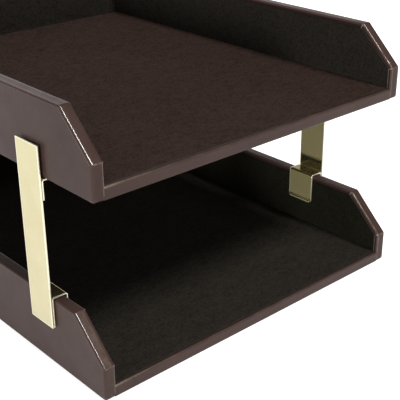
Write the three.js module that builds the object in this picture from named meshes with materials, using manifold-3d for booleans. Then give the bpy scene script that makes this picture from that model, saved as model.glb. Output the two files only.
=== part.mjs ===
// Two front-loading leather letter trays, one above the other on flat brass posts.
// Millimetres. X runs across the trays, Y from the open front to the back wall, Z up.
// The origin is under the middle of the lower tray, on the surface that it stands on.

import * as THREE from 'three';
import { mergeVertices } from 'three/addons/utils/BufferGeometryUtils.js';
import Module from 'manifold-3d';

const wasm = await Module();
wasm.setup();

// Tray
const trayWidth = 266.7;
const trayDepth = 330.2;
const wallHeight = 50;
const frontEndHeight = 23.2;
const bevelRun = 28.2;
const wallBoardThickness = 6;
const floorBoardThickness = 5.9;
const leatherThickness = 1;
const baseClothThickness = 1;
const baseClothBorder = 4.5;
const turnIn = 3.5;
const glueLine = 0.3;
const seam = 0.3;
const edgeRadius = 1.6;
const cornerRadius = 2.2;

// Panel pins that hold the boards together
const pinDiameter = 1.4;
const pinLength = 18;
const pinClearance = 0.3;
const pinSetIn = 0.4;
const floorPinFromFront = 60;
const floorPinFromRear = 70;
const backPinHeight = 28;
const backPinFromMiddle = 75;

// Posts
const clearBetweenTrays = 81.4;
const stripWidth = 24;
const stripThickness = 1;
const stripEdgeRadius = 0.3;
const stripCornerRadius = 0.6;
const bendRadius = 1.2;
const weldGap = 0.3;
const seatClearance = 0.3;
const hookSideClearance = 0.5;
const hookTopClearance = 0.6;
const hookOuterDrop = 20;
const hookInnerDrop = 19.7;
const lipRadius = 3;
const lipAngle = THREE.MathUtils.degToRad(60);
const lipCornerRadius = 3;
const ledgeDrop = 13.5;
const ledgeReach = 13.5;
const uprightAboveLedge = 21.3;
const frontLeftPostFromFront = 61;
const frontRightPostFromFront = 79.4;
const rearLeftPostFromRear = 61;
const rearRightPostFromRear = 79.4;

// Facets of an edge, a corner, a bend and a pin, and how far a cut runs past what it cuts
const edgeSteps = 3;
const cornerSteps = 4;
const bendSteps = 5;
const pinSides = 12;
const cutReach = 5;

// Sizes that follow
const halfWidth = trayWidth / 2;
const frontY = -trayDepth / 2;
const rearY = trayDepth / 2;
const footLayer = Math.max(leatherThickness, baseClothThickness);
const coverBottom = footLayer - leatherThickness;
const skin = leatherThickness + glueLine;
const wallThickness = wallBoardThickness + 2 * skin;
const innerHalfWidth = halfWidth - wallThickness;
const backFaceY = rearY - wallThickness;
const backBoardFaceY = backFaceY + skin;
const boardBottom = coverBottom + skin;
const floorBoardTop = boardBottom + floorBoardThickness;
const floorTop = floorBoardTop + skin;
const floorHalfWidth = innerHalfWidth - seam;
const crossBoardHalfWidth = innerHalfWidth + skin - seam;

const leather = new THREE.MeshStandardMaterial({ color: '#4b3833', roughness: 0.45, metalness: 0 });
const lining = new THREE.MeshStandardMaterial({ color: '#2b201d', roughness: 0.6, metalness: 0 });
const wood = new THREE.MeshStandardMaterial({ color: '#b8946a', roughness: 0.8, metalness: 0 });
const cloth = new THREE.MeshStandardMaterial({ color: '#241d1b', roughness: 0.95, metalness: 0 });
const brass = new THREE.MeshStandardMaterial({ color: '#d8c47a', roughness: 0.18, metalness: 1 });
const steel = new THREE.MeshStandardMaterial({ color: '#a4a4a6', roughness: 0.35, metalness: 1 });

// A closed geometry as a solid that can be cut
function solidOf(geometry) {
  const bare = geometry.index ? geometry.toNonIndexed() : geometry.clone();
  bare.deleteAttribute('normal');
  bare.deleteAttribute('uv');
  const merged = mergeVertices(bare, 1e-4);
  return new wasm.Manifold(new wasm.Mesh({
    numProp: 3,
    vertProperties: merged.attributes.position.array,
    triVerts: new Uint32Array(merged.index.array),
  }));
}

// A solid as a three.js geometry
function geometryOf(solid) {
  const mesh = solid.getMesh();
  const geometry = new THREE.BufferGeometry();
  geometry.setAttribute('position', new THREE.BufferAttribute(mesh.vertProperties, 3));
  geometry.setIndex(new THREE.BufferAttribute(mesh.triVerts, 1));
  const faceted = geometry.toNonIndexed();
  faceted.computeVertexNormals();
  return faceted;
}

// The same solid on the other side of the tray
function mirrored(solid) {
  const geometry = geometryOf(solid).scale(-1, 1, 1);
  geometry.setIndex([...Array(geometry.attributes.position.count).keys()].reverse());
  return solidOf(geometry);
}

function cutBy(solid, cutters) {
  return cutters.reduce((rest, cutter) => rest.subtract(cutter), solid);
}

function box(x0, x1, y0, y1, z0, z1) {
  const geometry = new THREE.BoxGeometry(x1 - x0, y1 - y0, z1 - z0);
  geometry.translate((x0 + x1) / 2, (y0 + y1) / 2, (z0 + z1) / 2);
  return solidOf(geometry);
}

// The arc that rounds one corner between the corners before and after it
function roundedCorner(before, corner, after, radius, steps) {
  if (radius <= 0) return [corner];
  const toBefore = before.clone().sub(corner).normalize();
  const toAfter = after.clone().sub(corner).normalize();
  const halfAngle = Math.acos(toBefore.dot(toAfter)) / 2;
  const middle = toBefore.clone().add(toAfter).normalize();
  const centre = corner.clone().addScaledVector(middle, radius / Math.sin(halfAngle));
  const start = corner.clone().addScaledVector(toBefore, radius / Math.tan(halfAngle));
  const turn = Math.sign(toAfter.cross(toBefore)) * (Math.PI - 2 * halfAngle);
  return Array.from({ length: steps + 1 }, (_, step) => (
    start.clone().rotateAround(centre, turn * step / steps)
  ));
}

// A closed outline through corners [across, up, radius]
function roundedOutline(corners) {
  const points = corners.map(([across, up]) => new THREE.Vector2(across, up));
  const count = points.length;
  return corners.flatMap(([, , radius = 0], i) => (
    roundedCorner(points[(i + count - 1) % count], points[i], points[(i + 1) % count], radius, cornerSteps)
  ));
}

// An outline carried along Z from 0 to its length, with the edges of both ends rounded
function extruded(outline, length, radius) {
  const rounded = radius > 0;
  const endLength = rounded ? radius : 0;
  const geometry = new THREE.ExtrudeGeometry(new THREE.Shape(outline), {
    depth: length - 2 * endLength,
    bevelEnabled: rounded,
    bevelThickness: radius,
    bevelSize: radius,
    bevelOffset: -radius,
    bevelSegments: edgeSteps,
  });
  return geometry.translate(0, 0, endLength);
}

// An outline in Y and Z carried along X from x0 to x1
function alongX(outline, x0, x1, radius = 0) {
  const turned = new THREE.Matrix4().makeBasis(
    new THREE.Vector3(0, 1, 0),
    new THREE.Vector3(0, 0, 1),
    new THREE.Vector3(1, 0, 0),
  );
  return solidOf(extruded(outline, x1 - x0, radius).applyMatrix4(turned).translate(x0, 0, 0));
}

// An outline in X and Z carried along Y, centred on Y = 0
function alongY(outline, width, radius = 0) {
  return solidOf(extruded(outline, width, radius).rotateX(Math.PI / 2).translate(0, width / 2, 0));
}

// The side wall seen from the side, drawn in by inset along its front, bevel and top
function wallOutline({ inset, bottom, rear, radius = 0 }) {
  const rise = wallHeight - frontEndHeight;
  const slope = Math.hypot(bevelRun, rise);
  const bevelFoot = frontEndHeight + inset * (rise - slope) / bevelRun;
  const bevelHead = (inset * slope + (rise - inset) * bevelRun) / rise;
  return roundedOutline([
    [frontY + inset, bottom, radius],
    [rear, bottom, radius],
    [rear, wallHeight - inset, radius],
    [frontY + bevelHead, wallHeight - inset, radius],
    [frontY + inset, bevelFoot, radius],
  ]);
}

// The left side wall, drawn in by inset from every face
function sideSlab(inset) {
  const outline = wallOutline({
    inset,
    bottom: coverBottom + inset,
    rear: rearY - inset,
    radius: cornerRadius - inset,
  });
  return alongX(outline, -halfWidth + inset, -innerHalfWidth - inset, edgeRadius - inset);
}

// The back wall, drawn in by inset from all but its ends
function backSlab(inset, reach) {
  const radius = edgeRadius - inset;
  return alongX(roundedOutline([
    [backFaceY + inset, coverBottom + inset, radius],
    [rearY - inset, coverBottom + inset, radius],
    [rearY - inset, wallHeight - inset, radius],
    [backFaceY + inset, wallHeight - inset, radius],
  ]), -reach, reach);
}

// The floor with its round front edge, drawn in by inset from its front, top and foot
function floorSlab(inset, reach, rear) {
  const radius = edgeRadius - inset;
  return alongX(roundedOutline([
    [frontY + inset, coverBottom + inset, radius],
    [rear, coverBottom + inset],
    [rear, floorTop - inset],
    [frontY + inset, floorTop - inset, radius],
  ]), -reach, reach);
}

// A base cloth of the given height, drawn out all round by room
function clothSlab(room, bottom, top) {
  const clothHalfWidth = halfWidth - baseClothBorder + room;
  const clothHalfDepth = trayDepth / 2 - baseClothBorder + room;
  return box(-clothHalfWidth, clothHalfWidth, -clothHalfDepth, clothHalfDepth, bottom, top);
}

// Pins go in at a board's outer face, through it and into the edge of the next board
const pinRadius = pinDiameter / 2;
const holeRadius = pinRadius + pinClearance;
const pinEnd = skin + pinSetIn + pinLength;
const floorPinZ = boardBottom + floorBoardThickness / 2;
const backPinY = rearY - skin - wallBoardThickness / 2;
const sidePinPlaces = {
  floor_pin_front: [frontY + floorPinFromFront, floorPinZ],
  floor_pin_rear: [rearY - floorPinFromRear, floorPinZ],
  back_pin: [backPinY, backPinHeight],
};

function roundBar(radius, length) {
  return new THREE.CylinderGeometry(radius, radius, length, pinSides);
}

function sidePin([y, z]) {
  return solidOf(roundBar(pinRadius, pinLength).rotateZ(Math.PI / 2))
    .translate([-halfWidth + pinEnd - pinLength / 2, y, z]);
}

function sidePinHoles() {
  const length = pinEnd + pinClearance;
  return Object.values(sidePinPlaces).map(([y, z]) => (
    solidOf(roundBar(holeRadius, length).rotateZ(Math.PI / 2))
      .translate([-halfWidth + length / 2, y, z])
  ));
}

function floorBackPin(x) {
  return solidOf(roundBar(pinRadius, pinLength))
    .translate([x, rearY - pinEnd + pinLength / 2, floorPinZ]);
}

function floorBackPinHoles() {
  const length = pinEnd + pinClearance;
  return [-backPinFromMiddle, backPinFromMiddle].map((x) => (
    solidOf(roundBar(holeRadius, length)).translate([x, rearY - length / 2, floorPinZ])
  ));
}

// Left side wall
function sideBoard() {
  return cutBy(sideSlab(skin), sidePinHoles());
}

function sideCover() {
  const innerSheetX = -innerHalfWidth - leatherThickness;
  const liningPlace = alongX(
    wallOutline({ inset: turnIn, bottom: -cutReach, rear: rearY - leatherThickness }),
    innerSheetX - glueLine,
    -innerHalfWidth + cutReach,
  );
  const backBoardPlace = box(
    innerSheetX - glueLine, -innerHalfWidth + cutReach,
    backBoardFaceY - seam, rearY - leatherThickness,
    coverBottom + leatherThickness, wallHeight - leatherThickness,
  );
  const clothPlace = clothSlab(seam, -cutReach, boardBottom);
  return cutBy(sideSlab(0), [sideSlab(leatherThickness), liningPlace, backBoardPlace, clothPlace]);
}

function sideLining() {
  return alongX(
    wallOutline({
      inset: turnIn + seam,
      bottom: floorBoardTop + glueLine,
      rear: backBoardFaceY - seam,
    }),
    -innerHalfWidth - leatherThickness,
    -innerHalfWidth,
  );
}

// Back wall, between the side walls
function backBoard() {
  const slab = box(
    -crossBoardHalfWidth, crossBoardHalfWidth,
    backBoardFaceY, rearY - skin,
    boardBottom, wallHeight - skin,
  );
  const sideHoles = sidePinHoles();
  return cutBy(slab, [...sideHoles, ...sideHoles.map(mirrored), ...floorBackPinHoles()]);
}

function backCover() {
  const liningPlace = box(
    -trayWidth, trayWidth,
    backFaceY - cutReach, backBoardFaceY,
    -cutReach, wallHeight - turnIn,
  );
  const clothPlace = clothSlab(seam, -cutReach, boardBottom);
  return cutBy(backSlab(0, floorHalfWidth), [
    backSlab(leatherThickness, trayWidth),
    liningPlace,
    clothPlace,
  ]);
}

function backLining() {
  return box(
    -floorHalfWidth, floorHalfWidth,
    backFaceY, backFaceY + leatherThickness,
    floorBoardTop + glueLine, wallHeight - turnIn - seam,
  );
}

// Floor, between the side walls and up to the back board
function floorBoard() {
  const slab = box(
    -crossBoardHalfWidth, crossBoardHalfWidth,
    frontY + skin, backBoardFaceY - seam,
    boardBottom, floorBoardTop,
  );
  const turnInPlace = box(
    -trayWidth, -floorHalfWidth,
    frontY, frontY + turnIn + seam,
    -cutReach, wallHeight,
  );
  const leftCuts = [turnInPlace, ...sidePinHoles()];
  return cutBy(slab, [...leftCuts, ...leftCuts.map(mirrored), ...floorBackPinHoles()]);
}

function floorCover() {
  const liningPlace = box(
    -trayWidth, trayWidth,
    frontY + turnIn, rearY,
    floorBoardTop, wallHeight,
  );
  return cutBy(floorSlab(0, floorHalfWidth, backFaceY), [
    floorSlab(leatherThickness, trayWidth, rearY),
    liningPlace,
    clothSlab(seam, -cutReach, boardBottom),
  ]);
}

function floorLining() {
  return box(
    -floorHalfWidth, floorHalfWidth,
    frontY + turnIn + seam, backFaceY - seam,
    floorTop - leatherThickness, floorTop,
  );
}

function baseCloth() {
  const bottom = footLayer - baseClothThickness;
  return clothSlab(0, bottom, bottom + baseClothThickness);
}

// A strip of metal seen from its edge, from its centre line [x, z, bend radius]
function stripOutline(path) {
  const corners = path.map(([x, z]) => new THREE.Vector2(x, z));
  const line = path.flatMap(([, , radius = 0], i) => (
    roundedCorner(corners[i - 1], corners[i], corners[i + 1], radius, bendSteps)
  ));
  const directions = line.slice(1).map((point, i) => point.clone().sub(line[i]).normalize());
  const offsets = line.map((_, i) => {
    const incoming = directions[Math.max(i - 1, 0)];
    const outgoing = directions[Math.min(i, directions.length - 1)];
    const along = incoming.clone().add(outgoing).normalize();
    const reach = stripThickness / 2 / along.dot(outgoing);
    return new THREE.Vector2(-along.y, along.x).multiplyScalar(reach);
  });
  const oneSide = line.map((point, i) => point.clone().add(offsets[i]));
  const otherSide = line.map((point, i) => point.clone().sub(offsets[i])).reverse();
  return [...oneSide, ...otherSide];
}

// Places of a post on the left wall
const innerLayerX = -halfWidth - hookSideClearance - stripThickness / 2;
const outerLayerX = innerLayerX - stripThickness - weldGap;
const flapX = -innerHalfWidth + hookSideClearance + stripThickness / 2;
const hookTopZ = wallHeight + hookTopClearance + stripThickness / 2;
const stripEndZ = wallHeight - hookOuterDrop;
const upperTrayZ = wallHeight + clearBetweenTrays;
const ledgeTopZ = upperTrayZ - seatClearance;

function upright() {
  const topZ = ledgeTopZ + uprightAboveLedge;
  const halfStrip = stripWidth / 2;
  const outline = roundedOutline([
    [-halfStrip, stripEndZ, stripCornerRadius],
    [halfStrip, stripEndZ, stripCornerRadius],
    [halfStrip, topZ, stripCornerRadius],
    [-halfStrip, topZ, stripCornerRadius],
  ]);
  const x0 = outerLayerX - stripThickness / 2;
  return alongX(outline, x0, x0 + stripThickness, stripEdgeRadius);
}

// What goes off the two lower corners of the flap inside the tray
function lipCorners(lipEndZ) {
  const halfStrip = stripWidth / 2;
  const top = lipEndZ + lipCornerRadius;
  const end = box(
    -innerHalfWidth, -innerHalfWidth + wallThickness * 2,
    -halfStrip - cutReach, halfStrip + cutReach,
    lipEndZ - cutReach, top,
  );
  const kept = alongX(roundedOutline([
    [-halfStrip, lipEndZ, lipCornerRadius],
    [halfStrip, lipEndZ, lipCornerRadius],
    [halfStrip, top + cutReach],
    [-halfStrip, top + cutReach],
  ]), -innerHalfWidth - cutReach, -innerHalfWidth + wallThickness * 3);
  return end.subtract(kept);
}

function hook() {
  const lipStartZ = wallHeight - hookInnerDrop;
  const lip = Array.from({ length: bendSteps }, (_, step) => {
    const angle = lipAngle * (step + 1) / bendSteps;
    return [flapX + lipRadius * (1 - Math.cos(angle)), lipStartZ - lipRadius * Math.sin(angle)];
  });
  const strip = alongY(stripOutline([
    [innerLayerX, stripEndZ],
    [innerLayerX, hookTopZ, bendRadius],
    [flapX, hookTopZ, bendRadius],
    [flapX, lipStartZ],
    ...lip,
  ]), stripWidth, stripEdgeRadius);
  const lipEndZ = lipStartZ - lipRadius * Math.sin(lipAngle) - stripThickness / 2 * Math.cos(lipAngle);
  return strip.subtract(lipCorners(lipEndZ));
}

function ledge() {
  const tabZ = ledgeTopZ - stripThickness / 2;
  return alongY(stripOutline([
    [innerLayerX, ledgeTopZ - ledgeDrop],
    [innerLayerX, tabZ, bendRadius],
    [innerLayerX - stripThickness / 2 + ledgeReach, tabZ],
  ]), stripWidth, stripEdgeRadius);
}

function piece(name, solid, material) {
  const mesh = new THREE.Mesh(geometryOf(solid), material);
  mesh.name = name;
  return mesh;
}

// One tray, at the height of its foot
function tray(level, footZ) {
  const group = new THREE.Group();
  for (const side of ['left', 'right']) {
    const wall = new THREE.Group();
    wall.scale.x = side === 'left' ? 1 : -1;
    wall.add(piece(`${level}_${side}_side_board`, sideBoard(), wood));
    wall.add(piece(`${level}_${side}_side_cover`, sideCover(), leather));
    wall.add(piece(`${level}_${side}_side_lining`, sideLining(), lining));
    for (const [name, place] of Object.entries(sidePinPlaces)) {
      wall.add(piece(`${level}_${side}_${name}`, sidePin(place), steel));
    }
    group.add(wall);
  }
  group.add(piece(`${level}_back_board`, backBoard(), wood));
  group.add(piece(`${level}_back_cover`, backCover(), leather));
  group.add(piece(`${level}_back_lining`, backLining(), lining));
  group.add(piece(`${level}_floor_board`, floorBoard(), wood));
  group.add(piece(`${level}_floor_cover`, floorCover(), leather));
  group.add(piece(`${level}_floor_lining`, floorLining(), lining));
  group.add(piece(`${level}_base_cloth`, baseCloth(), cloth));
  group.add(piece(`${level}_floor_back_pin_left`, floorBackPin(-backPinFromMiddle), steel));
  group.add(piece(`${level}_floor_back_pin_right`, floorBackPin(backPinFromMiddle), steel));
  group.position.z = footZ;
  return group;
}

// One post, on the left wall or turned round onto the right one
function post(name, side, centreY) {
  const group = new THREE.Group();
  group.add(piece(`${name}_post_upright`, upright(), brass));
  group.add(piece(`${name}_post_hook`, hook(), brass));
  group.add(piece(`${name}_post_ledge`, ledge(), brass));
  group.rotation.z = side === 'left' ? 0 : Math.PI;
  group.position.y = centreY;
  return group;
}

const letterTrays = new THREE.Group();
letterTrays.add(tray('lower', 0));
letterTrays.add(tray('upper', upperTrayZ));
letterTrays.add(post('front_left', 'left', frontY + frontLeftPostFromFront));
letterTrays.add(post('front_right', 'right', frontY + frontRightPostFromFront));
letterTrays.add(post('rear_left', 'left', rearY - rearLeftPostFromRear));
letterTrays.add(post('rear_right', 'right', rearY - rearRightPostFromRear));

export default letterTrays;
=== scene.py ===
"""Two leather letter trays on brass posts: detailed pieces, finishes, light and camera."""

import math

import bpy
from mathutils import Matrix, Vector, noise


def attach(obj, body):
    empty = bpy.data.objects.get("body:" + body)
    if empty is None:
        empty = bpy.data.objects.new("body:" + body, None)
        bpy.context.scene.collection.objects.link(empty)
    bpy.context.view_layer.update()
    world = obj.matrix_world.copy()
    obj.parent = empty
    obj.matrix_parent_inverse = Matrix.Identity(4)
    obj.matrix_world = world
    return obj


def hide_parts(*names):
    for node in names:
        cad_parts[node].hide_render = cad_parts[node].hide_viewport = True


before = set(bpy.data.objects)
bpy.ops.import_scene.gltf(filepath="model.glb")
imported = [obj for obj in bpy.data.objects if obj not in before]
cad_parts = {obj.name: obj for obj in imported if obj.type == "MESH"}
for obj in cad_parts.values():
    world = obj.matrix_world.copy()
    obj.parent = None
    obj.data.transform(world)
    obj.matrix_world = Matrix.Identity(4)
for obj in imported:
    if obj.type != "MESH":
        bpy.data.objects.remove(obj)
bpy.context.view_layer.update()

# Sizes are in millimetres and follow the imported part.
MM = 0.001

TRAY_WIDTH = 266.7
TRAY_DEPTH = 330.2
WALL_HEIGHT = 50
FRONT_END_HEIGHT = 23.2
BEVEL_RUN = 28.2
WALL_THICKNESS = 8.6
LEATHER = 1
GLUE = 0.3
SEAM = 0.3
TURN_IN = 3.5
TURN_UNDER = 4.2
CLOTH_BORDER = 4.5
CLOTH_THICKNESS = 1
EDGE_RADIUS = 1.6
CORNER_RADIUS = 2.2
FLOOR_BOARD_TOP = 7.2
FLOOR_TOP = 8.5
UPPER_TRAY_Z = 131.4

STRIP_WIDTH = 24
STRIP_THICKNESS = 1
STRIP_EDGE = 0.3
STRIP_CORNER = 0.6
BEND_RADIUS = 1.2
WELD_GAP = 0.3
HOOK_SIDE_CLEARANCE = 0.5
HOOK_TOP_CLEARANCE = 0.6
HOOK_OUTER_DROP = 20
HOOK_INNER_DROP = 19.7
LIP_RADIUS = 3
LIP_ANGLE = math.radians(60)
LIP_CORNER = 3
LEDGE_TOP_Z = UPPER_TRAY_Z - 0.3
LEDGE_DROP = 13.5
LEDGE_REACH = 13.5
UPRIGHT_ABOVE_LEDGE = 21.3

HALF_WIDTH = TRAY_WIDTH / 2
FRONT_Y = -TRAY_DEPTH / 2
REAR_Y = TRAY_DEPTH / 2
INNER_X = HALF_WIDTH - WALL_THICKNESS
BACK_FACE_Y = REAR_Y - WALL_THICKNESS
BACK_BOARD_FACE_Y = BACK_FACE_Y + LEATHER + GLUE
CROSS_HALF_WIDTH = INNER_X - SEAM
POST_Y = {
    "front_left": FRONT_Y + 61,
    "front_right": FRONT_Y + 79.4,
    "rear_left": REAR_Y - 61,
    "rear_right": REAR_Y - 79.4,
}

# Sizes that only the looks need.
WAVE_ROOM = 0.105  # how far the leather is drawn in, so that its waves stay in its solid's space
LINING_RISE = 0.25  # how far the wall linings reach above their solids, to close the seam
END_ROUNDING = 0.9  # share of a strip's edge radius that rounds its ends
BURNISH_HIGHLIGHT_BAND = 0.75  # width of the burnished rim of a brass strip, painted pale as a painted highlight
LIP_RIM_HIGHLIGHT = 0.35  # polish of the rim at a hook's lip, where 1 is that of the other rims; it sets how pale that rim's painted highlight is
HAND_REACH = 9  # height above the hook where hands have rubbed an upright's lacquer off

SHARP_EDGE = math.radians(50)
ARC_STEPS = 6
BEND_STEPS = 12
LIP_STEPS = 8


# ---------------------------------------------------------------- meshes

def make_object(name, points, faces, material, body, slot, replaced, **marks):
    """A smooth mesh object from points in millimetres, riding on a body in place of CAD nodes.

    marks are numbers for each point, such as wear, that its material reads by name.
    """
    mesh = bpy.data.meshes.new(name)
    mesh.from_pydata([Vector(p) * MM for p in points], [], faces)
    for mark, values in marks.items():
        attribute = mesh.attributes.new(mark, "FLOAT", "POINT")
        attribute.data.foreach_set("value", values)
    mesh.update()
    mesh.shade_smooth()
    mesh.set_sharp_from_angle(angle=SHARP_EDGE)
    mesh.materials.append(material)
    obj = bpy.data.objects.new(name, mesh)
    bpy.context.scene.collection.objects.link(obj)
    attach(obj, body)
    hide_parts(*replaced)


def ring_faces(rings, points):
    """Faces between successive rings of points, capped at both ends and turned outwards."""
    around = len(points) // rings
    faces = [tuple(reversed(range(around)))]
    for ring in range(rings - 1):
        for i in range(around):
            j = (i + 1) % around
            low = ring * around
            high = low + around
            faces.append((low + i, low + j, high + j, high + i))
    last = (rings - 1) * around
    faces.append(tuple(range(last, last + around)))
    if signed_volume(points, faces) < 0:
        faces = [tuple(reversed(face)) for face in faces]
    return faces


def signed_volume(points, faces):
    """Six times the volume that the faces close in, negative where they face inwards."""
    total = 0
    for face in faces:
        a = Vector(points[face[0]])
        for k in range(1, len(face) - 1):
            total += a.dot(Vector(points[face[k]]).cross(Vector(points[face[k + 1]])))
    return total


def arc_between(before, corner, after, radius, steps):
    """Points on the arc that rounds a corner, as pairs."""
    to_before = (before - corner).normalized()
    to_after = (after - corner).normalized()
    half = math.acos(max(-1, min(1, to_before.dot(to_after)))) / 2
    middle = (to_before + to_after).normalized()
    centre = corner + middle * (radius / math.sin(half))
    start = corner + to_before * (radius / math.tan(half)) - centre
    sign = 1 if to_after.x * to_before.y - to_after.y * to_before.x > 0 else -1
    turn = sign * (math.pi - 2 * half)
    return [centre + Matrix.Rotation(turn * k / steps, 2) @ start for k in range(steps + 1)]


def closed_ring(corners, radius, stops):
    """A closed outline with round corners. stops[i] are the shares of the side after corner i."""
    points = [Vector(c) for c in corners]
    count = len(points)
    arcs = [
        arc_between(points[i - 1], points[i], points[(i + 1) % count], radius, ARC_STEPS)
        for i in range(count)
    ]
    ring = []
    for i in range(count):
        ring += arcs[i]
        start, end = arcs[i][-1], arcs[(i + 1) % count][0]
        ring += [start.lerp(end, share) for share in stops[i]]
    return ring


def side_stops(length, spacing, start_offsets=(), end_offsets=()):
    """Shares of a side: close together at its ends, evenly spaced between them."""
    low = max(start_offsets, default=0)
    high = length - max(end_offsets, default=0)
    inner = max(1, round((high - low) / spacing))
    even = [low + (high - low) * k / inner for k in range(1, inner)]
    stops = [*start_offsets, *even, *(length - o for o in reversed(end_offsets))]
    return [stop / length for stop in stops]


def even_stops(count):
    """Shares from -1 to 1, evenly spaced."""
    return [-1 + 2 * k / count for k in range(count + 1)]


def quarter(radius, steps=ARC_STEPS):
    """Sine and one-minus-cosine pairs of a quarter turn, times the radius."""
    angles = [math.pi / 2 * k / steps for k in range(steps + 1)]
    return [(radius * math.sin(a), radius * (1 - math.cos(a))) for a in angles]


def lengths_along(line):
    """How far each point of a line lies from its first one."""
    lengths = [0]
    for before, after in zip(line, line[1:]):
        lengths.append(lengths[-1] + (after - before).length)
    return lengths


def evenly_along(run, count):
    """Evenly spaced points on a polyline, both ends included."""
    points = [Vector(p) for p in run]
    spans = [(after - before).length for before, after in zip(points, points[1:])]
    total = sum(spans)
    result = []
    for k in range(count):
        goal = total * k / (count - 1)
        span = 0
        while span < len(spans) - 1 and goal > spans[span]:
            goal -= spans[span]
            span += 1
        share = min(goal / spans[span], 1)
        result.append(tuple(points[span].lerp(points[span + 1], share)))
    return result


def waves(place, *layers):
    """Soft unevenness at a place. A layer is its height and its length."""
    return sum(height * noise.noise(place / length) for height, length in layers)


# ---------------------------------------------------------------- leather over the side walls

# Samples of a side cover's section, numbered from its outer face: two on that face, the outer
# arc, the band across the wall, the inner arc, the strip on the inner face, and then the way
# back along the leather's hidden side.
BAND_SAMPLES = 4
STRIP_SAMPLES = 6
HIDDEN_ARC_STEPS = 3
OUTER_ARC_START = 2
OUTER_ARC_END = OUTER_ARC_START + ARC_STEPS
INNER_ARC_START = OUTER_ARC_END + BAND_SAMPLES + 1
STRIP_START = INNER_ARC_START + ARC_STEPS
CUT_EDGE = STRIP_START + 4

FACE_INSET = 6  # the outer face is closed by a cap from here inwards
NARROW_TURN = 1.15  # how far the leather is turned in where the back or the felt meets it
NEAR_CORNER = (0.3, 0.6, 0.95, 1.4, 2, 3, 4.5, 7)
FOLD_HEIGHT = 0.12
FOLD_WIDTH = 0.38
FOLDS_LIMIT = 0.16
LEFT_SEED, RIGHT_SEED, BACK_SEED, FLOOR_SEED = 137, 411, 71, 17


def wall_corners(inset, bottom, rear):
    """Corners of the side wall from the side, drawn in by inset along front, bevel and top."""
    rise = WALL_HEIGHT - FRONT_END_HEIGHT
    slope = math.hypot(BEVEL_RUN, rise)
    foot = FRONT_END_HEIGHT + inset * (rise - slope) / BEVEL_RUN
    head = (inset * slope + (rise - inset) * BEVEL_RUN) / rise
    return [
        (FRONT_Y + inset, bottom),
        (rear, bottom),
        (rear, WALL_HEIGHT - inset),
        (FRONT_Y + head, WALL_HEIGHT - inset),
        (FRONT_Y + inset, foot),
    ]


def wall_stops():
    """Shares of the wall's five sides, close together where the section changes or bends."""
    corners = [Vector(c) for c in wall_corners(0, 0, REAR_Y)]
    foot, rear, top, bevel, front = (
        (corners[i] - corners[(i + 1) % 5]).length - 2 * CORNER_RADIUS for i in range(5)
    )
    under = TURN_UNDER - CORNER_RADIUS
    change = (under - 0.05, under + 0.05)
    rear_change = (change[0] + 2.4, change[1] + 2.4)
    return [
        side_stops(foot, 10, change, change),
        side_stops(rear, 8, (1,), (1,)),
        side_stops(top, 6, rear_change, NEAR_CORNER),
        side_stops(bevel, 4, NEAR_CORNER, NEAR_CORNER),
        side_stops(front, 4, NEAR_CORNER, (1,)),
    ]


def turned_in(y, z):
    """How far the leather reaches onto the inner face at a point of the wall's outline.

    None where it ends under the wall, beside the felt.
    """
    if z < 0.01 and FRONT_Y + TURN_UNDER < y < REAR_Y - TURN_UNDER:
        return None
    if z < 0.7 * CORNER_RADIUS or y > BACK_BOARD_FACE_Y - SEAM:
        return NARROW_TURN
    return TURN_IN


def cover_profile():
    """The outside of a cover's section, from its outer face to the inner one.

    A sample is how far it is drawn in from the wall's outline, and its depth from the outer face.
    """
    r, t = EDGE_RADIUS, WALL_THICKNESS
    profile = [(FACE_INSET, 0), (r + 0.3, 0)]
    profile += [(r - a, b) for a, b in quarter(r)]
    band = BAND_SAMPLES + 1
    profile += [(0, r + (t - 2 * r) * k / band) for k in range(1, band)]
    profile += [(b, t - r + a) for a, b in quarter(r)]
    return profile


def cover_section(width):
    """A cover's whole section, where the leather reaches width onto the inner face."""
    r, t = EDGE_RADIUS, WALL_THICKNESS
    bend = r - LEATHER
    profile = cover_profile()
    hidden = range(HIDDEN_ARC_STEPS + 1)
    if width is None:
        end = TURN_UNDER
        points = profile[:OUTER_ARC_END + 1]
        points += [
            (0, r + (end - 0.3 - r) * k / BAND_SAMPLES) for k in range(1, BAND_SAMPLES + 1)
        ]
        rim = [(0, end - 0.25), (0.08, end), (0.92, end), (1, end - 0.08)]
        points += evenly_along(rim, ARC_STEPS + 1 + STRIP_SAMPLES)
        last_depth = points[-1][1]
        points += [(LEATHER, last_depth - 0.15 - 0.25 * k) for k in hidden]
    elif width < r:
        limit = math.acos(1 - width / r)
        turns = [limit * k / ARC_STEPS for k in range(ARC_STEPS + 1)]
        points = profile[:INNER_ARC_START]
        points += [(r * (1 - math.cos(a)), t - r + r * math.sin(a)) for a in turns]
        points += evenly_along([(width, t - 0.15), (width, t - 0.95)], STRIP_SAMPLES)
        points += [(LEATHER, t - 1.05 - 0.2 * k) for k in hidden]
    else:
        points = profile + [
            (width * 0.6, t), (width - 0.35, t), (width - 0.08, t - 0.06),
            (width, t - 0.22), (width, t - 0.85), (width - 0.12, t - LEATHER),
        ]
        points += [(r - a, t - LEATHER - b) for a, b in quarter(bend, HIDDEN_ARC_STEPS)]
    points += [(LEATHER + b, LEATHER + bend - a) for a, b in quarter(bend, HIDDEN_ARC_STEPS)]
    points.append((FACE_INSET, LEATHER))
    return points


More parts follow.
